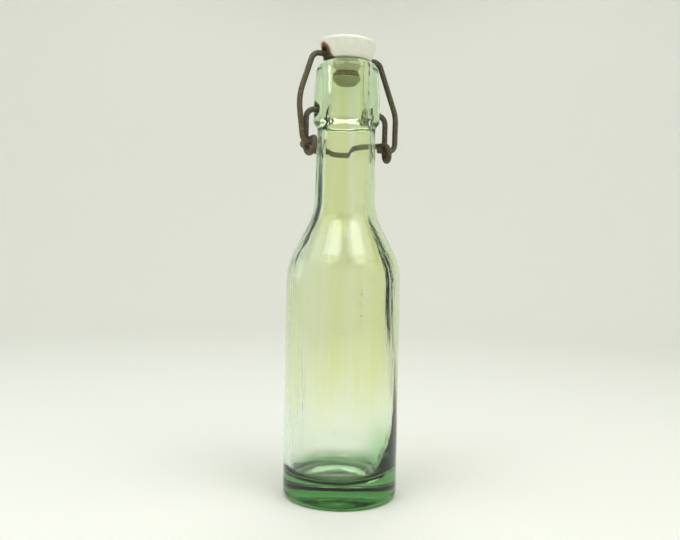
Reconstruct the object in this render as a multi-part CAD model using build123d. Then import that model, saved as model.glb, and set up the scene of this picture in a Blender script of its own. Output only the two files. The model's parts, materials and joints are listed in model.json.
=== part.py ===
from build123d import *

import math
import os

# Swing top bottle: glass bottle, porcelain stopper, rubber washer, wire bail and wire lever.
# Millimetres. +Z is up, and the origin is the centre of the base on the surface it stands on.
# The lever swings about X. The bail's hooks, the crossbar and the stopper drop slightly towards +X, as the
# hand-fitted closure sits a little crooked on the neck. The lever's thumb loop hangs behind the neck, at +Y.
# Where a size differs between the two sides it is given as left (-X) and right (+X).

LEFT = -1
RIGHT = 1

# ---- Driving dimensions: bottle, outside ----
RIM_Z = 223.5
BODY_R = 29.6
HEEL_FILLET = 3.0
STAND_RING_R = 20.5
KICK_H = 2.4
SHOULDER_CORNER_Z = 119.3
SHOULDER_FILLET = 36.0
NECK_LOW_R = 15.8
NECK_LOW_Z = 146.0
NECK_ROOT_FILLET = 35.0
NECK_TOP_R = 15.1
NECK_TOP_Z = 190.0
NECK_TOP_FILLET = 0.7
COLLAR_R = 17.15
COLLAR_LOW_Z = 192.4
COLLAR_LOW_FILLET = 1.8
COLLAR_TAPER_Z = 205.0
COLLAR_TAPER_FILLET = 40.0
LIP_R = 15.6
LIP_FILLET = 5.0

# ---- Driving dimensions: bottle, inside ----
BORE_R = 8.7
MOUTH_FILLET = 2.6
BORE_LOW_Z = 208.0
BORE_LOW_FILLET = 40.0
NECK_IN_HIGH_R = 10.6
NECK_IN_HIGH_Z = 188.4
NECK_IN_HIGH_FILLET = 60.0
NECK_IN_LOW_R = 11.8
NECK_IN_LOW_Z = 145.0
NECK_IN_LOW_FILLET = 34.0
CAVITY_R = 26.3
CAVITY_CORNER_Z = 117.0
CAVITY_SHOULDER_FILLET = 28.0
FLOOR_EDGE_Z = 10.0
FLOOR_EDGE_FILLET = 7.0
FLOOR_MOUND_Z = 12.4

# ---- Driving dimensions: the pivots, measured from the dimples' axis ----
PIVOT_Z = 198.3
CROSSBAR_UP = 28.0
HOOK_DOWN = 17.95
HOOK_FORWARD = 1.2
SLANT = 0.033
WIRE_R = 1.45
PIVOT_CLEARANCE = 0.06
CONTACT_GAP = 0.05

# ---- Driving dimensions: dimples in the collar ----
DIMPLE_MOUTH_R = 3.5
DIMPLE_CONE_DEPTH = 1.9
DIMPLE_FLOOR_X = 13.7

# ---- Driving dimensions: porcelain stopper ----
HEAD_GAP = 0.2
HEAD_TOP_Z = 234.4
HEAD_LOW_R = 12.2
HEAD_TOP_R = 15.1
HEAD_TOP_FILLET = 1.5
CONE_TOP_R = 8.5
CONE_LOW_R = 5.6
GROOVE_R = 4.8
CONE_H = 6.3
GROOVE_H = 2.7
KNOB_R = 6.9
KNOB_H = 4.4
KNOB_LOW_FILLET = 3.8
SLOT_FLOOR_X = 9.6
SLOT_W = 4.4
SLOT_H = 7.6
SLOT_RISE = 2.0

# ---- Driving dimensions: rubber washer ----
WASHER_R = 6.8
WASHER_TOP_R = 5.8
WASHER_FILLET = 0.5

# ---- Driving dimensions: bail wire ----
BAIL_TOP_X = {LEFT: 18.9, RIGHT: 18.2}
BAIL_TOP_BEND = 4.5
BAIL_WIDE_X = {LEFT: 26.9, RIGHT: 28.4}
BAIL_WIDE_UP = {LEFT: 4.6, RIGHT: 1.0}
BAIL_WIDE_BEND = {LEFT: 30.0, RIGHT: 18.0}
BAIL_HOOK_X = {LEFT: 24.3, RIGHT: 27.9}
BAIL_HOOK_BEND = 4.2
BAIL_TIP_X = {LEFT: 17.0, RIGHT: 17.8}

# ---- Driving dimensions: lever wire ----
LEVER_TIP_X = 14.0
LEVER_ARM_X = {LEFT: 22.3, RIGHT: 22.6}
LEVER_ARM_BEND = {LEFT: 4.3, RIGHT: 5.2}
EYE_R = 4.0
EYE_BEND = 3.75
EYE_OUT_X = {LEFT: 21.3, RIGHT: 23.9}
EYE_STEP_X = 1.0
LOOP_SIDE_X = {LEFT: 18.3, RIGHT: 20.8}
LOOP_SIDE_Y = 1.6
LOOP_SIDE_BEND = 10.0
LOOP_KNEE_X = 18.4
LOOP_KNEE_Y = 12.0
LOOP_KNEE_BEND = 10.0
LOOP_TURN_X = 16.2
LOOP_TURN_Y = 21.0
LOOP_TURN_DROP = 1.2
LOOP_TURN_BEND = 7.0
LOOP_BACK_X = {LEFT: 3.2, RIGHT: 10.8}
LOOP_BACK_Y = 25.5
LOOP_BACK_DROP = 18.9
LOOP_BACK_BEND = {LEFT: 26.0, RIGHT: 10.0}

# ---- Worked out from the driving dimensions ----
CROSSBAR_Z = PIVOT_Z + CROSSBAR_UP
HOOK_Z = PIVOT_Z - HOOK_DOWN
HOOK_Y = -HOOK_FORWARD
PIVOT_HOLE_R = WIRE_R + PIVOT_CLEARANCE
RIGHT_ANGLE = 90
TILT_DEG = math.degrees(math.atan(SLANT))
HEAD_LOW_Z = RIM_Z + HEAD_GAP + HEAD_LOW_R * SLANT
CONE_LOW_Z = HEAD_LOW_Z - CONE_H
KNOB_TOP_Z = CONE_LOW_Z - GROOVE_H
KNOB_LOW_Z = KNOB_TOP_Z - KNOB_H
EYE_Z = HOOK_Z + 2 * WIRE_R + CONTACT_GAP - EYE_R


def revolved(*edges):
    """A solid of revolution about Z from edges drawn as (radius, height)."""
    outline = Curve() + list(edges)
    face = make_face(Plane.XZ * outline)
    return revolve(face, axis=Axis.Z)


def kick_up_edge():
    """The shallow dome under the base, from the standing ring to the axis."""
    dome_r = (STAND_RING_R**2 + KICK_H**2) / (2 * KICK_H)
    half = STAND_RING_R / 2
    half_z = math.sqrt(dome_r**2 - half**2) - (dome_r - KICK_H)
    return ThreePointArc((STAND_RING_R, 0), (half, half_z), (0, KICK_H))


def glass_profile():
    """Half section of the glass: underside, outside, rim, bore, cavity and floor."""
    outside_and_inside = FilletPolyline(
        (STAND_RING_R, 0),
        (BODY_R, 0),
        (BODY_R, SHOULDER_CORNER_Z),
        (NECK_LOW_R, NECK_LOW_Z),
        (NECK_TOP_R, NECK_TOP_Z),
        (COLLAR_R, COLLAR_LOW_Z),
        (COLLAR_R, COLLAR_TAPER_Z),
        (LIP_R, RIM_Z),
        (BORE_R, RIM_Z),
        (BORE_R, BORE_LOW_Z),
        (NECK_IN_HIGH_R, NECK_IN_HIGH_Z),
        (NECK_IN_LOW_R, NECK_IN_LOW_Z),
        (CAVITY_R, CAVITY_CORNER_Z),
        (CAVITY_R, FLOOR_EDGE_Z),
        (0, FLOOR_MOUND_Z),
        radius=(
            HEEL_FILLET,
            SHOULDER_FILLET,
            NECK_ROOT_FILLET,
            NECK_TOP_FILLET,
            COLLAR_LOW_FILLET,
            COLLAR_TAPER_FILLET,
            LIP_FILLET,
            MOUTH_FILLET,
            BORE_LOW_FILLET,
            NECK_IN_HIGH_FILLET,
            NECK_IN_LOW_FILLET,
            CAVITY_SHOULDER_FILLET,
            FLOOR_EDGE_FILLET,
        ),
    )
    axis_edge = Line((0, FLOOR_MOUND_Z), (0, KICK_H))
    return [kick_up_edge(), outside_and_inside, axis_edge]


def dimple(side):
    """One moulded dimple: a cone at the collar's surface and a short blind hole for the wire end."""
    hole_len = COLLAR_R - DIMPLE_FLOOR_X
    outward = Pos(side * DIMPLE_FLOOR_X, 0, PIVOT_Z) * Rot(0, side * RIGHT_ANGLE, 0)
    hole = outward * Pos(0, 0, hole_len / 2) * Cylinder(PIVOT_HOLE_R, hole_len)
    cone_len = DIMPLE_CONE_DEPTH + DIMPLE_MOUTH_R
    mouth_r = PIVOT_HOLE_R + (DIMPLE_MOUTH_R - PIVOT_HOLE_R) * cone_len / DIMPLE_CONE_DEPTH
    cone_z = hole_len - DIMPLE_CONE_DEPTH + cone_len / 2
    cone = outward * Pos(0, 0, cone_z) * Cone(PIVOT_HOLE_R, mouth_r, cone_len)
    return hole + cone


def bottle():
    glass = revolved(*glass_profile())
    return glass - dimple(LEFT) - dimple(RIGHT)


def stopper_profile():
    """Half section of the porcelain: flared head, cone, groove and knob."""
    outline = FilletPolyline(
        (0, HEAD_TOP_Z),
        (HEAD_TOP_R, HEAD_TOP_Z),
        (HEAD_LOW_R, HEAD_LOW_Z),
        (CONE_TOP_R, HEAD_LOW_Z),
        (CONE_LOW_R, CONE_LOW_Z),
        (GROOVE_R, CONE_LOW_Z),
        (GROOVE_R, KNOB_TOP_Z),
        (KNOB_R, KNOB_TOP_Z),
        (KNOB_R, KNOB_LOW_Z),
        (0, KNOB_LOW_Z),
        radius=(HEAD_TOP_FILLET, 0, 0, 0, 0, 0, 0, KNOB_LOW_FILLET),
    )
    axis_edge = Line((0, KNOB_LOW_Z), (0, HEAD_TOP_Z))
    return [outline, axis_edge]


def crossbar_slot(side):
    """The tall rounded slot where the cross hole meets the side of the head."""
    depth = HEAD_TOP_R - SLOT_FLOOR_X
    start = (side * SLOT_FLOOR_X, 0, CROSSBAR_Z + SLOT_RISE)
    plane = Plane(origin=start, x_dir=(0, 0, 1), z_dir=(side, 0, 0))
    return extrude(plane * SlotOverall(SLOT_H, SLOT_W), amount=depth)


def sat_crooked(piece):
    """Turns an upright piece of the stopper about the crossbar's middle into its real seat."""
    return Pos(0, 0, CROSSBAR_Z) * Rot(0, TILT_DEG, 0) * Pos(0, 0, -CROSSBAR_Z) * piece


def stopper():
    body = revolved(*stopper_profile())
    cross_hole = Pos(0, 0, CROSSBAR_Z) * Rot(0, RIGHT_ANGLE, 0) * Cylinder(PIVOT_HOLE_R, 2 * BODY_R)
    return sat_crooked(body - cross_hole - crossbar_slot(LEFT) - crossbar_slot(RIGHT))


def washer():
    """An old rubber ring that fills the groove and widens towards the knob."""
    section = Polyline(
        (GROOVE_R, KNOB_TOP_Z),
        (WASHER_R - WASHER_FILLET, KNOB_TOP_Z),
        (WASHER_R, KNOB_TOP_Z + WASHER_FILLET),
        (WASHER_TOP_R, CONE_LOW_Z),
        (GROOVE_R, CONE_LOW_Z),
        close=True,
    )
    return sat_crooked(revolved(section))


def bent_wire(points, bends):
    """Round wire along straight runs joined by tangent bends."""
    path = FilletPolyline(*points, radius=bends)
    start = Plane(origin=path @ 0, z_dir=path % 0)
    return sweep(start * Circle(WIRE_R), path=path)


def on_side(side, points, slant=SLANT):
    """Puts (distance out, y, height) points on one side, dropped towards +X by the slant."""
    return [(side * x, y, z - slant * side * x) for x, y, z in points]


def bail_leg(side):
    """Points of one side of the bail, from the top corner down to the hook's tip."""
    wide_z = PIVOT_Z + BAIL_WIDE_UP[side]
    wide_y = HOOK_Y * (CROSSBAR_Z - wide_z) / (CROSSBAR_Z - HOOK_Z)
    corners = [
        (BAIL_TOP_X[side], 0, CROSSBAR_Z),
        (BAIL_WIDE_X[side], wide_y, wide_z),
        (BAIL_HOOK_X[side], HOOK_Y, HOOK_Z),
        (BAIL_TIP_X[side], HOOK_Y, HOOK_Z),
    ]
    return on_side(side, corners)


def bail_bends(side):
    return [BAIL_TOP_BEND, BAIL_WIDE_BEND[side], BAIL_HOOK_BEND]


def bail():
    points = bail_leg(LEFT)[::-1] + bail_leg(RIGHT)
    return bent_wire(points, bail_bends(LEFT)[::-1] + bail_bends(RIGHT))


def lever_arm(side):
    """Points of one side of the lever: pivot end, arm, eye and the start of the thumb loop."""
    back_y = HOOK_Y + EYE_R
    front_y = HOOK_Y - EYE_R
    low_z = EYE_Z - EYE_R
    high_z = EYE_Z + EYE_R
    arm = [(LEVER_TIP_X, 0, PIVOT_Z), (LEVER_ARM_X[side], 0, PIVOT_Z)]
    eye_and_loop = [
        (EYE_OUT_X[side], back_y, low_z),
        (EYE_OUT_X[side] - EYE_STEP_X, front_y, low_z),
        (EYE_OUT_X[side] - 2 * EYE_STEP_X, front_y, high_z),
        (LOOP_SIDE_X[side], LOOP_SIDE_Y, high_z),
        (LOOP_KNEE_X, LOOP_KNEE_Y, high_z),
        (LOOP_TURN_X, LOOP_TURN_Y, high_z - LOOP_TURN_DROP),
        (LOOP_BACK_X[side], LOOP_BACK_Y, PIVOT_Z - LOOP_BACK_DROP),
    ]
    return on_side(side, arm, 0) + on_side(side, eye_and_loop)


def lever_bends(side):
    eye_bends = [EYE_BEND, EYE_BEND, EYE_BEND]
    loop_bends = [LOOP_SIDE_BEND, LOOP_KNEE_BEND, LOOP_TURN_BEND, LOOP_BACK_BEND[side]]
    return [LEVER_ARM_BEND[side]] + eye_bends + loop_bends


def lever():
    points = lever_arm(LEFT) + lever_arm(RIGHT)[::-1]
    return bent_wire(points, lever_bends(LEFT) + lever_bends(RIGHT)[::-1])


def main():
    os.makedirs("parts", exist_ok=True)
    pieces = {
        "bottle": bottle,
        "stopper": stopper,
        "washer": washer,
        "bail": bail,
        "lever": lever,
    }
    for name, make in pieces.items():
        export_step(make(), f"parts/{name}.step")


main()
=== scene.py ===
import bpy
import json
import math
import random
from mathutils import Matrix, Vector, noise


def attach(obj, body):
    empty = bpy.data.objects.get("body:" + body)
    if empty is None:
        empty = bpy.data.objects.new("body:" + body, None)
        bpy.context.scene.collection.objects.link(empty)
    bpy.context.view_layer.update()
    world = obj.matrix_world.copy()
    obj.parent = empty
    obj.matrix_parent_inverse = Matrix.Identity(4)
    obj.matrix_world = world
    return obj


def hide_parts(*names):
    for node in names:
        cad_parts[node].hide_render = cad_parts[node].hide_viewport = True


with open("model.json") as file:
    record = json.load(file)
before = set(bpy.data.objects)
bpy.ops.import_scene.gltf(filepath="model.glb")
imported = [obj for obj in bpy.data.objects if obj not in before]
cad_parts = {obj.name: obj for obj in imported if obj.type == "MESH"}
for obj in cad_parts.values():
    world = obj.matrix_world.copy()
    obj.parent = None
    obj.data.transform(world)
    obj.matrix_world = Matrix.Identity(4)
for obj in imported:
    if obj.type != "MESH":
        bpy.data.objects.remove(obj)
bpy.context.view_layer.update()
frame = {"nodes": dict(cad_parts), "record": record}

MM = 0.001
LEFT = -1
RIGHT = 1
RANDOM_SEED = 11

# ---- The camera, at the photograph's viewing angle ----
VIEW_AZIMUTH = math.radians(-25.0)
CAMERA_DISTANCE = 396 * MM
CAMERA_HEIGHT = 129.9 * MM
CAMERA_PITCH = math.radians(-1.88)
CAMERA_YAW = math.radians(0.26)
CAMERA_ROLL = math.radians(1.1)
CAMERA_LENS = 40.4
CAMERA_CLIP = 10 * MM

# ---- The studio, in metres. Colours here and below are linear red, green, blue (and alpha) ----
ROOM_R = 1.1
COVE_R = 0.35
COVE_STEPS = 12
ROOM_H = 0.80
ROOM_SIDES = 96
ROOM_COLOUR = (0.84, 0.845, 0.80, 1)
ROOM_ROUGHNESS = 0.9
WORLD_COLOUR = (0.52, 0.86, 0.44, 1)
WORLD_STRENGTH = 0.075

# Soft boxes: name, azimuth and elevation in degrees, distance, width, height, watts, colour, target's height.
# Azimuths are measured from the camera's side, positive to the right.
LIGHTS = [
    ("window_left_pane", -36, 58, 0.80, 0.40, 0.40, 1.45, (1.0, 1.0, 1.0), 0.12),
    ("window_right_pane", 38, 58, 0.80, 0.46, 0.40, 1.7, (1.0, 0.99, 0.96), 0.12),
    ("side_window", -104, 9, 0.85, 0.34, 0.34, 0.35, (0.80, 0.92, 1.0), 0.17),
    ("ceiling_lamp_0", 60, 57, 1.15, 0.85, 0.85, 3.4, (1.0, 0.995, 0.975), 0.0),
    ("ceiling_lamp_1", 180, 57, 1.15, 0.85, 0.85, 3.4, (1.0, 0.995, 0.975), 0.0),
    ("ceiling_lamp_2", 300, 57, 1.15, 0.85, 0.85, 3.4, (1.0, 0.995, 0.975), 0.0),
]

# ---- The closure's pivots, from the frame ----
JOINTS = {j["name"]: j for j in frame["record"]["behaviour"]["joints"]}
PIVOT = Vector(JOINTS["lever_swing"]["pos_m"])
HOOK = Vector(JOINTS["bail_swing"]["pos_m"])
CROSSBAR = Vector(JOINTS["stopper_turn"]["pos_m"])
HOOK_AXIS = JOINTS["bail_swing"]["axis"]
SLANT = -HOOK_AXIS[2] / HOOK_AXIS[0]

# ---- Sizes of the glass, in millimetres. The corners of its half section are (radius, height, fillet) ----
RIM_Z = 223.5
STAND_RING_R = 20.5
KICK_H = 2.4
KICK_STEPS = 12
GLASS_CORNERS = [
    (STAND_RING_R, 0, 0),
    (29.6, 0, 3.0),
    (29.6, 119.3, 36.0),
    (15.8, 146.0, 35.0),
    (15.1, 190.0, 3.4),
    (17.15, 192.4, 4.2),
    (17.15, 205.0, 40.0),
    (15.6, RIM_Z, 5.0),
    (8.7, RIM_Z, 2.6),
    (8.7, 208.0, 40.0),
    (10.6, 188.4, 60.0),
    (11.8, 145.0, 34.0),
    (26.3, 117.0, 28.0),
    (26.3, 10.0, 7.0),
    (0, 12.4, 0),
]
GLASS_STEP = 1.1
GLASS_SIDES = 192
ARC_STEPS_PER_MM = 1.3
ON_AXIS_R = 1e-6

# ---- How the glass is uneven, in millimetres. Waves are (lobes round the axis, size, pitch) ----
INNER_WAVES = [(2, 0.30, 90), (3, 0.34, -60), (5, 0.22, 75), (7, 0.14, -48), (11, 0.07, 52)]
INNER_WAVES_TOP_Z = 206
INNER_WAVES_FADE = 25
INNER_WAVES_FULL_R = 12
OUTER_WAVES = [(2, 0.05, 110), (4, 0.04, -70), (7, 0.025, 60)]
OUTER_WAVES_LOW_FADE = 12
OUTER_WAVES_TOP_Z = 220
OUTER_WAVES_TOP_FADE = 15
WAVE_PHASES = 8
INSET = 0.05
HEAVY_WALL = 6.5
HEAVY_Z = 8
HEAVY_REACH = 20
HEAVY_TURN = math.radians(30)
HEAVY_FULL_R = 20

# ---- The dimples round the pivots, in millimetres; DIMPLE_CURVE is the power that rounds their slope ----
# They stand in for the CAD bottle's pivot holes. The meshes of the glass and the lever's ends cross in them.
DIMPLE_R = 3.9
DIMPLE_FLOOR_R = 1.4
DIMPLE_SLOPE = 2.5
DIMPLE_DEPTH = 3.3
DIMPLE_CURVE = 1.6
DIMPLE_SIDE_MIN = 12

# ---- Seeds, the bubbles in the glass, in millimetres. Placed ones are (across the view, height) ----
SEED_R = 28.2
SEEDS_PLACED = [(8.8, 106.2), (9.0, 95.6), (2.0, 86.9), (9.8, 74.8), (20.0, 89.4), (25.9, 112.0)]
SEED_COUNT = 14
SEED_TURNS = (0.9, 5.4)         # radians round the axis
SEED_HEIGHTS = (20, 112)
SEED_WIDTHS = (0.16, 0.30)
SEED_STRETCH = (1.0, 1.7)       # height over width
SEED_RINGS = 6
SEED_SIDES = 10

# ---- Sizes of the wires, in millimetres ----
WIRE_R = 1.45
CONTACT_GAP = 0.05
WIRE_SIDES = 20
WIRE_STEP = 0.4
WIRE_END_SHARE = 0.72           # share of the radius left at a cut end
WIRE_END_SLOPE = 0.7            # share regained per millimetre from the end
WIRE_PITS = [(0.9, 0.10), (2.3, 0.07)]  # (scale of the noise, depth)
BAIL_TOP_X = {LEFT: 18.9, RIGHT: 18.2}
BAIL_TOP_BEND = 4.5
BAIL_WIDE_X = {LEFT: 26.9, RIGHT: 28.4}
BAIL_WIDE_UP = {LEFT: 4.6, RIGHT: 1.0}
BAIL_WIDE_BEND = {LEFT: 30.0, RIGHT: 18.0}
BAIL_HOOK_X = {LEFT: 24.3, RIGHT: 27.9}
BAIL_HOOK_BEND = 4.2
BAIL_TIP_X = {LEFT: 17.0, RIGHT: 17.8}
LEVER_TIP_X = 14.0
LEVER_ARM_X = {LEFT: 22.3, RIGHT: 22.6}
LEVER_ARM_BEND = {LEFT: 4.3, RIGHT: 5.2}
EYE_R = 4.0
EYE_BEND = 3.75
EYE_OUT_X = {LEFT: 21.3, RIGHT: 23.9}
EYE_STEP_X = 1.0
LOOP_SIDE_X = {LEFT: 18.3, RIGHT: 20.8}
LOOP_SIDE_Y = 1.6
LOOP_SIDE_BEND = 10.0
LOOP_KNEE_X = 18.4
LOOP_KNEE_Y = 12.0
LOOP_KNEE_BEND = 10.0
LOOP_TURN_X = 16.2
LOOP_TURN_Y = 21.0
LOOP_TURN_DROP = 1.2
LOOP_TURN_BEND = 7.0
LOOP_BACK_X = {LEFT: 3.2, RIGHT: 10.8}
LOOP_BACK_Y = 25.5
LOOP_BACK_DROP = 18.9
LOOP_BACK_BEND = {LEFT: 26.0, RIGHT: 10.0}

# ---- The stopper and washer: voxels in metres and rounds of smoothing that melt their edges ----
STOPPER_VOXEL = 0.25 * MM
STOPPER_ROUNDS = 5
WASHER_VOXEL = 0.2 * MM
WASHER_ROUNDS = 4
SMOOTH_FACTOR = 0.5

# ---- The glass's colours, with its painted reflections, and the zones in millimetres where each one fades in or out ----
HEAVY_SIDE = (0.906, -0.423, 0)         # the direction that the "across" zones are measured in
GLASS_CLEAR = (0.975, 0.985, 0.945, 1)
# The yellow is partly the glass's own cords, partly a painted reflection of the cream wall seen through the
# upper body.
GLASS_YELLOW_CORDS_AND_REFLECTION = (0.93, 0.935, 0.665, 1)
# The aqua is a painted reflection: the blue-white of the side window, painted on the side away from
# HEAVY_SIDE.
GLASS_AQUA_REFLECTION = (0.945, 0.985, 0.965, 1)
GLASS_WEDGE = (0.55, 0.90, 0.48, 1)
GLASS_BASE = (0.12, 0.40, 0.10, 1)
GLASS_ABSORPTION = (0.46, 0.76, 0.44, 1)
GLASS_DENSITY = 26.0
AQUA_REFLECTION_ACROSS = (-24, -8)
AQUA_REFLECTION_HEIGHTS = (95, 150)
YELLOW_STREAKS = (0.38, 0.60)           # levels of the streaks' noise
YELLOW_HEIGHTS = (28, 70)
BASE_HEIGHTS = (6, 19)
WEDGE_ACROSS = (13, 25)
WEDGE_HEIGHTS = (16, 44)

# ---- The porcelain's colours, and the zones of its stains and painted shade in millimetres ----
# A RAGGED value is how far the noise moves a stain's edge.
GLAZE_PALE = (0.80, 0.80, 0.72, 1)
GLAZE_WARM = (0.76, 0.755, 0.665, 1)
SLOT_RUST = (0.40, 0.19, 0.055, 1)
# The next colour is the near-black at the slots and in the band below them: partly dark rust, partly painted
# shade of the hole and of the wire in it.
SLOT_DARK_RUST_AND_SHADE = (0.040, 0.022, 0.012, 1)
KNOB_DIRT = (0.36, 0.36, 0.19, 1)
CRACK_DIRT = (0.36, 0.30, 0.20, 1)
SLOT_TOP_RISE = 0.5
SLOT_STAIN_AND_SHADE_R = (5.4, 10.0)
SLOT_STAIN_AND_SHADE_OUT = (7.0, 10.5)
SLOT_RAGGED = 2.6
KNOB_DIRT_DROP = 9.5
KNOB_DIRT_BELOW = 1.5
KNOB_DIRT_ABOVE = 3.5
KNOB_DIRT_RAGGED = 3.0

# ---- The washer's and wires' colours, and how far the rust reaches round the pivot line, in millimetres ----
RUBBER_DARK = (0.16, 0.11, 0.045, 1)
RUBBER_CRUST = (0.30, 0.27, 0.13, 1)
SCALE_DARK = (0.040, 0.034, 0.020, 1)
SCALE_WORN = (0.19, 0.168, 0.112, 1)
WIRE_RUST_DARK = (0.040, 0.026, 0.013, 1)
WIRE_RUST_RED = (0.15, 0.092, 0.045, 1)
WIRE_RUST_BELOW = 6.0
WIRE_RUST_ABOVE = 14.0
WIRE_RUST_RAGGED = 26.0


# =============================== helpers ===============================

def link(obj):
    bpy.context.scene.collection.objects.link(obj)
    return obj


def mesh_object(name, points, faces):
    mesh = bpy.data.meshes.new(name)
    mesh.from_pydata(points, [], faces)
    mesh.validate()
    mesh.shade_smooth()
    return link(bpy.data.objects.new(name, mesh))


def arc_between(before, corner, after, fillet):
    """Points of the arc of radius fillet tangent to the two runs that meet at corner."""
    to_before = (before - corner).normalized()
    to_after = (after - corner).normalized()
    half = to_before.angle(to_after) / 2
    reach = fillet / math.tan(half)
    middle = (to_before + to_after).normalized() * (fillet / math.sin(half))
    centre = corner + middle
    start = corner + to_before * reach - centre
    end = corner + to_after * reach - centre
    turn = math.pi - 2 * half
    count = max(4, int(turn * fillet * ARC_STEPS_PER_MM) + 1)
    points = []
    for i in range(count + 1):
        t = i / count
        mix = start * math.sin((1 - t) * turn) + end * math.sin(t * turn)
        points.append(centre + mix / math.sin(turn))
    return points


def rounded_path(corners, step):
    """Evenly stepped points along straight runs joined by tangent arcs. corners are (point, fillet)."""
    path = [corners[0][0]]
    for i in range(1, len(corners) - 1):
        point, fillet = corners[i]
        if fillet:
            path += arc_between(corners[i - 1][0], point, corners[i + 1][0], fillet)
        else:
            path.append(point)
    path.append(corners[-1][0])
    stepped = [path[0]]
    for a, b in zip(path, path[1:]):
        pieces = max(1, round((b - a).length / step))
        stepped += [a.lerp(b, (k + 1) / pieces) for k in range(pieces)]
    return stepped


# =============================== camera, stage and light ===============================

def make_camera():
    data = bpy.data.cameras.new("camera")
    data.lens = CAMERA_LENS
    data.clip_start = CAMERA_CLIP
    camera = link(bpy.data.objects.new("camera", data))
    back = Vector((math.sin(VIEW_AZIMUTH), -math.cos(VIEW_AZIMUTH), 0))
    place = Matrix.Translation(back * CAMERA_DISTANCE + Vector((0, 0, CAMERA_HEIGHT)))
    heading = Matrix.Rotation(VIEW_AZIMUTH + CAMERA_YAW, 4, "Z")
    pitch = Matrix.Rotation(math.pi / 2 + CAMERA_PITCH, 4, "X")
    roll = Matrix.Rotation(CAMERA_ROLL, 4, "Z")
    camera.matrix_world = place @ heading @ pitch @ roll
    bpy.context.scene.camera = camera


def make_room():
    """A round studio cove: pale floor, curved up into a pale wall."""
    outline = [(0.0, 0.0), (ROOM_R - COVE_R, 0.0)]
    for i in range(1, COVE_STEPS + 1):
        a = i / COVE_STEPS * math.pi / 2
        outline.append((ROOM_R - COVE_R + COVE_R * math.sin(a), COVE_R - COVE_R * math.cos(a)))
    outline.append((ROOM_R, ROOM_H))
    points = [(0, 0, 0)]
    for r, z in outline[1:]:
        for k in range(ROOM_SIDES):
            a = 2 * math.pi * k / ROOM_SIDES
            points.append((r * math.cos(a), r * math.sin(a), z))
    faces = [(0, 1 + k, 1 + (k + 1) % ROOM_SIDES) for k in range(ROOM_SIDES)]
    for ring in range(len(outline) - 2):
        base = 1 + ring * ROOM_SIDES
        for k in range(ROOM_SIDES):
            n = (k + 1) % ROOM_SIDES
            faces.append((base + k, base + ROOM_SIDES + k, base + ROOM_SIDES + n, base + n))
    room = mesh_object("studio_cove", points, faces)
    material = bpy.data.materials.new("studio_cove")
    material.use_nodes = True
    shader = material.node_tree.nodes["Principled BSDF"]
    shader.inputs["Base Color"].default_value = ROOM_COLOUR
    shader.inputs["Roughness"].default_value = ROOM_ROUGHNESS
    room.data.materials.append(material)


def soft_light(name, azimuth, elevation, distance, width, height, watts, colour, target_z):
    """A soft box that faces the axis at the height target_z."""
    data = bpy.data.lights.new(name, "AREA")
    data.shape = "RECTANGLE"
    data.size = width
    data.size_y = height
    data.energy = watts
    data.color = colour
    light = link(bpy.data.objects.new(name, data))
    a = VIEW_AZIMUTH + math.radians(azimuth)
    e = math.radians(elevation)
    away = Vector((math.sin(a) * math.cos(e), -math.cos(a) * math.cos(e), math.sin(e)))
    target = Vector((0, 0, target_z))
    light.location = target + away * distance
    light.rotation_euler = (-away).to_track_quat("-Z", "Y").to_euler()
    light.visible_camera = False


def make_lights():
    for light in LIGHTS:
        soft_light(*light)
    world = bpy.data.worlds.new("studio")
    world.use_nodes = True
    background = world.node_tree.nodes["Background"]
    background.inputs["Color"].default_value = WORLD_COLOUR
    background.inputs["Strength"].default_value = WORLD_STRENGTH
    bpy.context.scene.world = world


# =============================== shapes ===============================

def glass_outline():
    """(radius, height) points of the glass, from the middle of its underside round to the cavity's floor."""
    dome_r = (STAND_RING_R**2 + KICK_H**2) / (2 * KICK_H)
    outline = []
    for i in range(KICK_STEPS):
        r = STAND_RING_R * i / KICK_STEPS
        outline.append(Vector((r, math.sqrt(dome_r**2 - r**2) - (dome_r - KICK_H))))
    corners = [(Vector((r, z)), fillet) for r, z, fillet in GLASS_CORNERS]
    return outline + rounded_path(corners, GLASS_STEP)


def share_of(value, whole):
    """value over whole, held between 0 and 1."""
    return min(1.0, max(0.0, value / whole))


def waves(table, angle, z, phase):
    """The sum of a table's waves at one place on the wall."""
    total = 0.0
    for i, (lobes, size, pitch) in enumerate(table):
        total += size * math.sin(lobes * angle + z / pitch * 2 + phase[i])
    return total


def air_seed(points, faces, centre, width, height):
    """A tall closed bubble in the glass, its faces turned towards the air inside."""
    start = len(points)
    sides = SEED_SIDES
    points.append(centre - Vector((0, 0, height)))
    for ring in range(1, SEED_RINGS):
        t = math.pi * ring / SEED_RINGS
        for k in range(sides):
            a = 2 * math.pi * k / sides
            across = Vector((math.cos(a), math.sin(a), 0)) * (width * math.sin(t))
            points.append(centre + across - Vector((0, 0, height * math.cos(t))))
    points.append(centre + Vector((0, 0, height)))
    last = len(points) - 1
    for k in range(sides):
        n = (k + 1) % sides
        faces.append((start, start + 1 + k, start + 1 + n))
        faces.append((last, last - sides + n, last - sides + k))
        for ring in range(SEED_RINGS - 2):
            base = start + 1 + ring * sides
            faces.append((base + k, base + sides + k, base + sides + n, base + n))


def add_seeds(points, faces, rng):
    """Seeds at their set places, then some scattered round the rest of the wall."""
    seeds = [(math.asin(across / SEED_R), z) for across, z in SEEDS_PLACED]
    seeds += [(rng.uniform(*SEED_TURNS), rng.uniform(*SEED_HEIGHTS)) for _ in range(SEED_COUNT)]
    for turn, z in seeds:
        a = VIEW_AZIMUTH - math.pi / 2 + turn
        centre = Vector((SEED_R * math.cos(a), SEED_R * math.sin(a), z))
        width = rng.uniform(*SEED_WIDTHS)
        air_seed(points, faces, centre * MM, width * MM, width * rng.uniform(*SEED_STRETCH) * MM)


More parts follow.
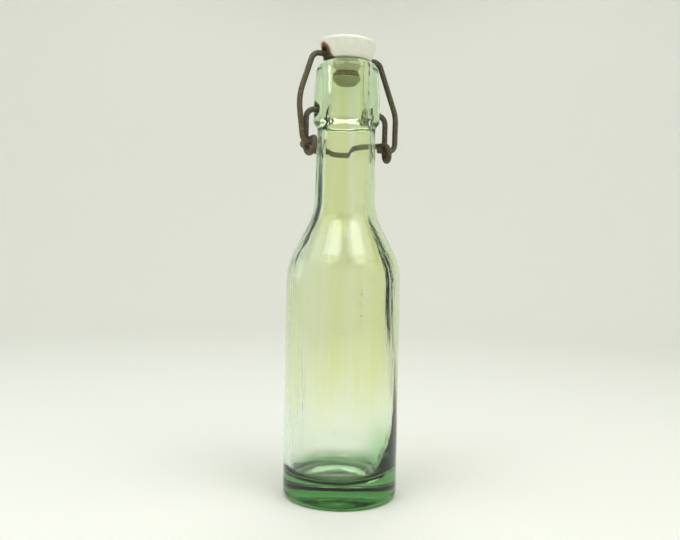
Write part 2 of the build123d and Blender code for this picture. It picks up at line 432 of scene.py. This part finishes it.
def inner_radius(r, a, z, phase):
    """The cavity's wall: wavy below the bore, and much thicker low down on the heavy side."""
    share = share_of(INNER_WAVES_TOP_Z - z, INNER_WAVES_FADE) * min(1.0, r / INNER_WAVES_FULL_R)
    r += waves(INNER_WAVES, a, z, phase) * share
    heavy = math.exp(-(((z - HEAVY_Z) / HEAVY_REACH) ** 2)) * max(0.0, math.cos(a + HEAVY_TURN)) ** 3
    return r - HEAVY_WALL * heavy * min(1.0, r / HEAVY_FULL_R)


def outer_radius(r, a, z, phase):
    """The outside: faint waves that only go inwards, and a dimple round each pivot."""
    fade = share_of(OUTER_WAVES_TOP_Z - z, OUTER_WAVES_TOP_FADE)
    swell = abs(waves(OUTER_WAVES, a, z, phase)) * min(1.0, z / OUTER_WAVES_LOW_FADE) * fade
    r -= INSET + swell
    side = abs(math.cos(a)) * r
    off = math.hypot(math.sin(a) * r, z - PIVOT.z / MM)
    if off < DIMPLE_R and side > DIMPLE_SIDE_MIN:
        r -= DIMPLE_DEPTH * (1 - share_of(off - DIMPLE_FLOOR_R, DIMPLE_SLOPE)) ** DIMPLE_CURVE
    return r


def make_bottle():
    rng = random.Random(RANDOM_SEED)
    phase = [rng.uniform(0, 2 * math.pi) for _ in range(WAVE_PHASES)]
    outline = glass_outline()
    rim = max(range(len(outline)), key=lambda i: outline[i].y)
    points = []
    for i, p in enumerate(outline):
        if p.x < ON_AXIS_R:
            points.append((0, 0, p.y * MM))
            continue
        uneven_radius = inner_radius if i > rim else outer_radius
        for k in range(GLASS_SIDES):
            a = 2 * math.pi * k / GLASS_SIDES
            r, z = uneven_radius(p.x, a, p.y, phase), p.y
            points.append((r * math.cos(a) * MM, r * math.sin(a) * MM, z * MM))
    faces = []
    start = 1
    n = GLASS_SIDES
    rings = sum(1 for p in outline if p.x >= ON_AXIS_R)
    faces += [(0, start + (k + 1) % n, start + k) for k in range(n)]
    for ring in range(rings - 1):
        base = start + ring * n
        faces += [(base + k, base + (k + 1) % n, base + n + (k + 1) % n, base + n + k) for k in range(n)]
    last = start + (rings - 1) * n
    faces += [(len(points) - 1, last + k, last + (k + 1) % n) for k in range(n)]
    add_seeds(points, faces, rng)
    return mesh_object("glass_bottle", points, faces)


def on_side(side, points, slant=0.0):
    """Puts (distance out, y, height) points on one side, dropped towards +X by the slant."""
    return [Vector((side * x, y, z - slant * side * x)) for x, y, z in points]


def bail_corners(side):
    hook_y, hook_z = HOOK.y / MM, HOOK.z / MM
    top_z = CROSSBAR.z / MM
    wide_z = PIVOT.z / MM + BAIL_WIDE_UP[side]
    wide_y = hook_y * (top_z - wide_z) / (top_z - hook_z)
    points = [
        (BAIL_TOP_X[side], 0, top_z),
        (BAIL_WIDE_X[side], wide_y, wide_z),
        (BAIL_HOOK_X[side], hook_y, hook_z),
        (BAIL_TIP_X[side], hook_y, hook_z),
    ]
    bends = [BAIL_TOP_BEND, BAIL_WIDE_BEND[side], BAIL_HOOK_BEND, 0]
    return list(zip(on_side(side, points, SLANT), bends))


def lever_corners(side):
    hook_y, hook_z, pivot_z = HOOK.y / MM, HOOK.z / MM, PIVOT.z / MM
    eye_z = hook_z + 2 * WIRE_R + CONTACT_GAP - EYE_R
    arm = [(LEVER_TIP_X, 0, pivot_z), (LEVER_ARM_X[side], 0, pivot_z)]
    eye_and_loop = [
        (EYE_OUT_X[side], hook_y + EYE_R, eye_z - EYE_R),
        (EYE_OUT_X[side] - EYE_STEP_X, hook_y - EYE_R, eye_z - EYE_R),
        (EYE_OUT_X[side] - 2 * EYE_STEP_X, hook_y - EYE_R, eye_z + EYE_R),
        (LOOP_SIDE_X[side], LOOP_SIDE_Y, eye_z + EYE_R),
        (LOOP_KNEE_X, LOOP_KNEE_Y, eye_z + EYE_R),
        (LOOP_TURN_X, LOOP_TURN_Y, eye_z + EYE_R - LOOP_TURN_DROP),
        (LOOP_BACK_X[side], LOOP_BACK_Y, pivot_z - LOOP_BACK_DROP),
    ]
    points = on_side(side, arm) + on_side(side, eye_and_loop, SLANT)
    eye_bends = [EYE_BEND, EYE_BEND, EYE_BEND]
    loop_bends = [LOOP_SIDE_BEND, LOOP_KNEE_BEND, LOOP_TURN_BEND, LOOP_BACK_BEND[side]]
    bends = [0, LEVER_ARM_BEND[side]] + eye_bends + loop_bends
    return list(zip(points, bends))


def make_wire(name, corners):
    """A round wire along the corners' path, pitted and slightly out of round, with rounded cut ends."""
    path = rounded_path(corners, WIRE_STEP)
    tangents = []
    for i in range(len(path)):
        a, b = path[max(0, i - 1)], path[min(len(path) - 1, i + 1)]
        tangents.append((b - a).normalized())
    side = tangents[0].orthogonal().normalized()
    points, faces = [], []
    for i, p in enumerate(path):
        side = (side - tangents[i] * side.dot(tangents[i])).normalized()
        up = tangents[i].cross(side)
        from_end = min((p - path[0]).length, (p - path[-1]).length)
        end_round = min(1.0, WIRE_END_SHARE + from_end * WIRE_END_SLOPE)
        for k in range(WIRE_SIDES):
            a = 2 * math.pi * k / WIRE_SIDES
            out = side * math.cos(a) + up * math.sin(a)
            at = p + out * WIRE_R
            pit = sum(max(0.0, noise.noise(at * fineness)) * depth for fineness, depth in WIRE_PITS)
            points.append((p + out * (WIRE_R * end_round - pit)) * MM)
    n = WIRE_SIDES
    for ring in range(len(path) - 1):
        base = ring * n
        faces += [(base + k, base + (k + 1) % n, base + n + (k + 1) % n, base + n + k) for k in range(n)]
    first, last = len(points), len(points) + 1
    points += [path[0] * MM, path[-1] * MM]
    end = (len(path) - 1) * n
    faces += [(first, (k + 1) % n, k) for k in range(n)]
    faces += [(last, end + k, end + (k + 1) % n) for k in range(n)]
    return mesh_object(name, points, faces)


def softened_copy(node, name, voxel, rounds):
    """A copy of a CAD node's mesh with its sharp edges melted round, as fired glaze or moulded rubber is."""
    mesh = frame["nodes"][node].data.copy()
    mesh.materials.clear()
    piece = link(bpy.data.objects.new(name, mesh))
    remesh = piece.modifiers.new("remesh", "REMESH")
    remesh.mode = "VOXEL"
    remesh.voxel_size = voxel
    smooth = piece.modifiers.new("smooth", "SMOOTH")
    smooth.iterations = rounds
    smooth.factor = SMOOTH_FACTOR
    bpy.context.view_layer.update()
    graph = bpy.context.evaluated_depsgraph_get()
    done = bpy.data.meshes.new_from_object(piece.evaluated_get(graph))
    piece.modifiers.clear()
    piece.data = done
    piece.data.shade_smooth()
    return piece


# =============================== materials ===============================

def new_material(name):
    material = bpy.data.materials.new(name)
    material.use_nodes = True
    nodes = material.node_tree.nodes
    return material, nodes, material.node_tree.links, nodes["Principled BSDF"]


def object_position(nodes, links, scale):
    """Object-space position in millimetres, stretched by scale."""
    place = nodes.new("ShaderNodeTexCoord")
    mapping = nodes.new("ShaderNodeMapping")
    mapping.inputs["Scale"].default_value = [v / MM for v in scale]
    links.new(place.outputs["Object"], mapping.inputs["Vector"])
    return mapping.outputs["Vector"]


def noise_value(nodes, links, vector, scale, detail=3.0, rough=0.55):
    texture = nodes.new("ShaderNodeTexNoise")
    texture.inputs["Scale"].default_value = scale
    texture.inputs["Detail"].default_value = detail
    texture.inputs["Roughness"].default_value = rough
    links.new(vector, texture.inputs["Vector"])
    return texture.outputs["Fac"]


def mapped(nodes, links, value, low, high, to_low=0.0, to_high=1.0):
    """Carries value from low..high to to_low..to_high with soft ends."""
    ranges = nodes.new("ShaderNodeMapRange")
    ranges.interpolation_type = "SMOOTHSTEP"
    ranges.inputs["From Min"].default_value = low
    ranges.inputs["From Max"].default_value = high
    ranges.inputs["To Min"].default_value = to_low
    ranges.inputs["To Max"].default_value = to_high
    links.new(value, ranges.inputs["Value"])
    return ranges.outputs["Result"]


def math_node(nodes, links, operation, *values):
    node = nodes.new("ShaderNodeMath")
    node.operation = operation
    for socket, value in zip(node.inputs, values):
        if isinstance(value, (int, float)):
            socket.default_value = value
        else:
            links.new(value, socket)
    return node.outputs["Value"]


def mixed(nodes, links, factor, colour_a, colour_b):
    node = nodes.new("ShaderNodeMix")
    node.data_type = "RGBA"
    links.new(factor, node.inputs[0])
    for socket, value in ((node.inputs[6], colour_a), (node.inputs[7], colour_b)):
        if isinstance(value, tuple):
            socket.default_value = value
        else:
            links.new(value, socket)
    return node.outputs[2]


def bumped(nodes, links, shader, height, distance, strength):
    bump = nodes.new("ShaderNodeBump")
    bump.inputs["Distance"].default_value = distance
    bump.inputs["Strength"].default_value = strength
    links.new(height, bump.inputs["Height"])
    links.new(bump.outputs["Normal"], shader.inputs["Normal"])


def axis_value(nodes, links, vector, axis):
    split = nodes.new("ShaderNodeSeparateXYZ")
    links.new(vector, split.inputs["Vector"])
    return split.outputs[axis]


def glass_material():
    """Old pressed glass: clear walls with yellow cords that are partly a painted reflection of the cream
    wall, a painted reflection of the bluish side window on one side, tinted deep green low down.
    """
    material, nodes, links, shader = new_material("green_glass")
    shader.inputs["Transmission Weight"].default_value = 1.0
    shader.inputs["IOR"].default_value = 1.5
    shader.inputs["Roughness"].default_value = 0.0
    position = object_position(nodes, links, (1, 1, 1))
    across = nodes.new("ShaderNodeVectorMath")
    across.operation = "DOT_PRODUCT"
    across.inputs[1].default_value = HEAVY_SIDE
    links.new(position, across.inputs[0])
    # Painted reflection: the side away from HEAVY_SIDE is tinted blue-white like the bluish side window, more
    # so higher up.
    aqua_reflection = mapped(nodes, links, across.outputs["Value"], *AQUA_REFLECTION_ACROSS, 1.0, 0.0)
    streaks = noise_value(nodes, links, object_position(nodes, links, (1, 1, 0.05)), 0.13, 2.0)
    height = axis_value(nodes, links, position, "Z")
    upper = mapped(nodes, links, height, *YELLOW_HEIGHTS)
    aqua_reflection = math_node(nodes, links, "MULTIPLY", aqua_reflection, mapped(nodes, links, height, *AQUA_REFLECTION_HEIGHTS, 0.25, 1.0))
    # Yellow streaks in the upper body: partly the glass's own cords, partly a painted reflection of the cream
    # wall seen through the glass.
    cords_and_reflection = mapped(nodes, links, streaks, *YELLOW_STREAKS, 0.25, 1.0)
    yellow = math_node(nodes, links, "MULTIPLY", cords_and_reflection, upper)
    corded_and_reflected = mixed(nodes, links, yellow, GLASS_CLEAR, GLASS_YELLOW_CORDS_AND_REFLECTION)
    sided = mixed(nodes, links, aqua_reflection, corded_and_reflected, GLASS_AQUA_REFLECTION)
    low = mapped(nodes, links, height, *BASE_HEIGHTS, 1.0, 0.0)
    heavy = mapped(nodes, links, across.outputs["Value"], *WEDGE_ACROSS, 0.0, 0.75)
    heel = mapped(nodes, links, height, *WEDGE_HEIGHTS, 1.0, 0.0)
    wedge = math_node(nodes, links, "MULTIPLY", heavy, heel)
    wedged = mixed(nodes, links, wedge, sided, GLASS_WEDGE)
    links.new(mixed(nodes, links, low, wedged, GLASS_BASE), shader.inputs["Base Color"])
    absorb = nodes.new("ShaderNodeVolumeAbsorption")
    absorb.inputs["Color"].default_value = GLASS_ABSORPTION
    absorb.inputs["Density"].default_value = GLASS_DENSITY
    links.new(absorb.outputs["Volume"], nodes["Material Output"].inputs["Volume"])
    fine = noise_value(nodes, links, object_position(nodes, links, (1, 1, 0.12)), 0.35, 3.0)
    bumped(nodes, links, shader, fine, 0.16 * MM, 0.7)
    return material


def porcelain_material():
    """Aged white glaze: rust round the cross hole's slots, near-black there partly as painted shade of the
    hole and the wire, crazing, dirt on the knob that hangs in the neck.
    """
    material, nodes, links, shader = new_material("porcelain")
    position = object_position(nodes, links, (1, 1, 1))
    x = axis_value(nodes, links, position, "X")
    y = axis_value(nodes, links, position, "Y")
    z = axis_value(nodes, links, position, "Z")
    patchy = noise_value(nodes, links, position, 0.35, 4.0)
    fine = noise_value(nodes, links, position, 1.6, 4.0)
    glaze = mixed(nodes, links, mapped(nodes, links, patchy, 0.35, 0.7), GLAZE_PALE, GLAZE_WARM)
    slot_top = CROSSBAR.z / MM + SLOT_TOP_RISE
    above = math_node(nodes, links, "MAXIMUM", math_node(nodes, links, "SUBTRACT", z, slot_top), 0.0)
    arch = math_node(nodes, links, "POWER", math_node(nodes, links, "ABSOLUTE", y), 2.0)
    arch = math_node(nodes, links, "ADD", arch, math_node(nodes, links, "POWER", above, 2.0))
    ragged = math_node(nodes, links, "MULTIPLY", math_node(nodes, links, "ADD", fine, patchy), SLOT_RAGGED)
    from_slot = math_node(nodes, links, "ADD", math_node(nodes, links, "SQRT", arch), ragged)
    near_slot = mapped(nodes, links, from_slot, *SLOT_STAIN_AND_SHADE_R, 1.0, 0.0)
    out = mapped(nodes, links, math_node(nodes, links, "ABSOLUTE", x), *SLOT_STAIN_AND_SHADE_OUT)
    # Rust round each slot; its near-black middle, which runs down below the slot, is partly painted shade of
    # the hole and of the wire.
    stain_and_shade = math_node(nodes, links, "MULTIPLY", near_slot, out)
    rust_and_shade = mixed(nodes, links, mapped(nodes, links, stain_and_shade, 0.42, 0.92), SLOT_RUST, SLOT_DARK_RUST_AND_SHADE)
    stained = mixed(nodes, links, mapped(nodes, links, stain_and_shade, 0.05, 0.55), glaze, rust_and_shade)
    knob_z = CROSSBAR.z / MM - KNOB_DIRT_DROP
    uneven = math_node(nodes, links, "MULTIPLY", patchy, KNOB_DIRT_RAGGED)
    dirt_line = math_node(nodes, links, "ADD", z, uneven)
    dirt = mapped(nodes, links, dirt_line, knob_z - KNOB_DIRT_BELOW, knob_z + KNOB_DIRT_ABOVE, 0.85, 0.05)
    soiled = mixed(nodes, links, dirt, stained, KNOB_DIRT)
    craze = nodes.new("ShaderNodeTexVoronoi")
    craze.feature = "DISTANCE_TO_EDGE"
    craze.inputs["Scale"].default_value = 0.28
    links.new(position, craze.inputs["Vector"])
    cracks = mapped(nodes, links, craze.outputs["Distance"], 0.0, 0.03, 0.07, 0.0)
    final = mixed(nodes, links, cracks, soiled, CRACK_DIRT)
    links.new(final, shader.inputs["Base Color"])
    matt = math_node(nodes, links, "MAXIMUM", stain_and_shade, dirt)
    links.new(mapped(nodes, links, matt, 0.0, 0.8, 0.17, 0.62), shader.inputs["Roughness"])
    shader.inputs["Subsurface Weight"].default_value = 0.12
    shader.inputs["Subsurface Radius"].default_value = (0.004, 0.003, 0.002)
    shader.inputs["Subsurface Scale"].default_value = 0.5
    bumped(nodes, links, shader, noise_value(nodes, links, position, 0.16, 2.0), 0.3 * MM, 0.4)
    return material


def rubber_material():
    """Old rubber: dark, perished and crusted with pale dirt."""
    material, nodes, links, shader = new_material("old_rubber")
    position = object_position(nodes, links, (1, 1, 1))
    patchy = noise_value(nodes, links, position, 0.7, 5.0)
    crust = mixed(nodes, links, mapped(nodes, links, patchy, 0.38, 0.62), RUBBER_DARK, RUBBER_CRUST)
    links.new(crust, shader.inputs["Base Color"])
    links.new(mapped(nodes, links, patchy, 0.3, 0.7, 0.9, 0.6), shader.inputs["Roughness"])
    bumped(nodes, links, shader, noise_value(nodes, links, position, 1.5, 5.0), 0.5 * MM, 0.9)
    return material


def wire_material():
    """Steel wire gone brown: dark scale with paler patches, redder with rust low down round the eyes."""
    material, nodes, links, shader = new_material("rusted_wire")
    position = object_position(nodes, links, (1, 1, 1))
    z = axis_value(nodes, links, position, "Z")
    broad = noise_value(nodes, links, position, 0.16, 4.0)
    fine = noise_value(nodes, links, position, 1.9, 6.0, 0.65)
    scale = mixed(nodes, links, mapped(nodes, links, fine, 0.35, 0.68), SCALE_DARK, SCALE_WORN)
    uneven = math_node(nodes, links, "MULTIPLY", broad, WIRE_RUST_RAGGED)
    lift = math_node(nodes, links, "ADD", z, uneven)
    pivot_z = PIVOT.z / MM
    rusty = mapped(nodes, links, lift, pivot_z - WIRE_RUST_BELOW, pivot_z + WIRE_RUST_ABOVE, 0.60, 0.04)
    red = mixed(nodes, links, mapped(nodes, links, fine, 0.4, 0.6), WIRE_RUST_DARK, WIRE_RUST_RED)
    colour = mixed(nodes, links, rusty, scale, red)
    links.new(colour, shader.inputs["Base Color"])
    links.new(mapped(nodes, links, fine, 0.3, 0.7, 0.72, 0.42), shader.inputs["Roughness"])
    links.new(mapped(nodes, links, rusty, 0.1, 0.8, 0.55, 0.10), shader.inputs["Metallic"])
    bumped(nodes, links, shader, fine, 0.30 * MM, 0.8)
    return material


# =============================== the object ===============================

def dress(piece, material, body, node):
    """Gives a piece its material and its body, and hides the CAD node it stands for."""
    piece.data.materials.clear()
    piece.data.materials.append(material)
    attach(piece, body)
    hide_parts(node)


def make_object():
    dress(make_bottle(), glass_material(), "bottle", "bottle")
    porcelain = softened_copy("stopper", "porcelain_stopper", STOPPER_VOXEL, STOPPER_ROUNDS)
    dress(porcelain, porcelain_material(), "stopper", "stopper")
    ring = softened_copy("washer", "rubber_washer", WASHER_VOXEL, WASHER_ROUNDS)
    dress(ring, rubber_material(), "stopper", "washer")
    bail_path = bail_corners(LEFT)[::-1] + bail_corners(RIGHT)
    dress(make_wire("wire_bail", bail_path), wire_material(), "bail", "bail")
    lever_path = lever_corners(LEFT) + lever_corners(RIGHT)[::-1]
    dress(make_wire("wire_lever", lever_path), wire_material(), "lever", "lever")


make_camera()
make_room()
make_lights()
make_object()
bpy.context.scene.view_settings.view_transform = "Standard"
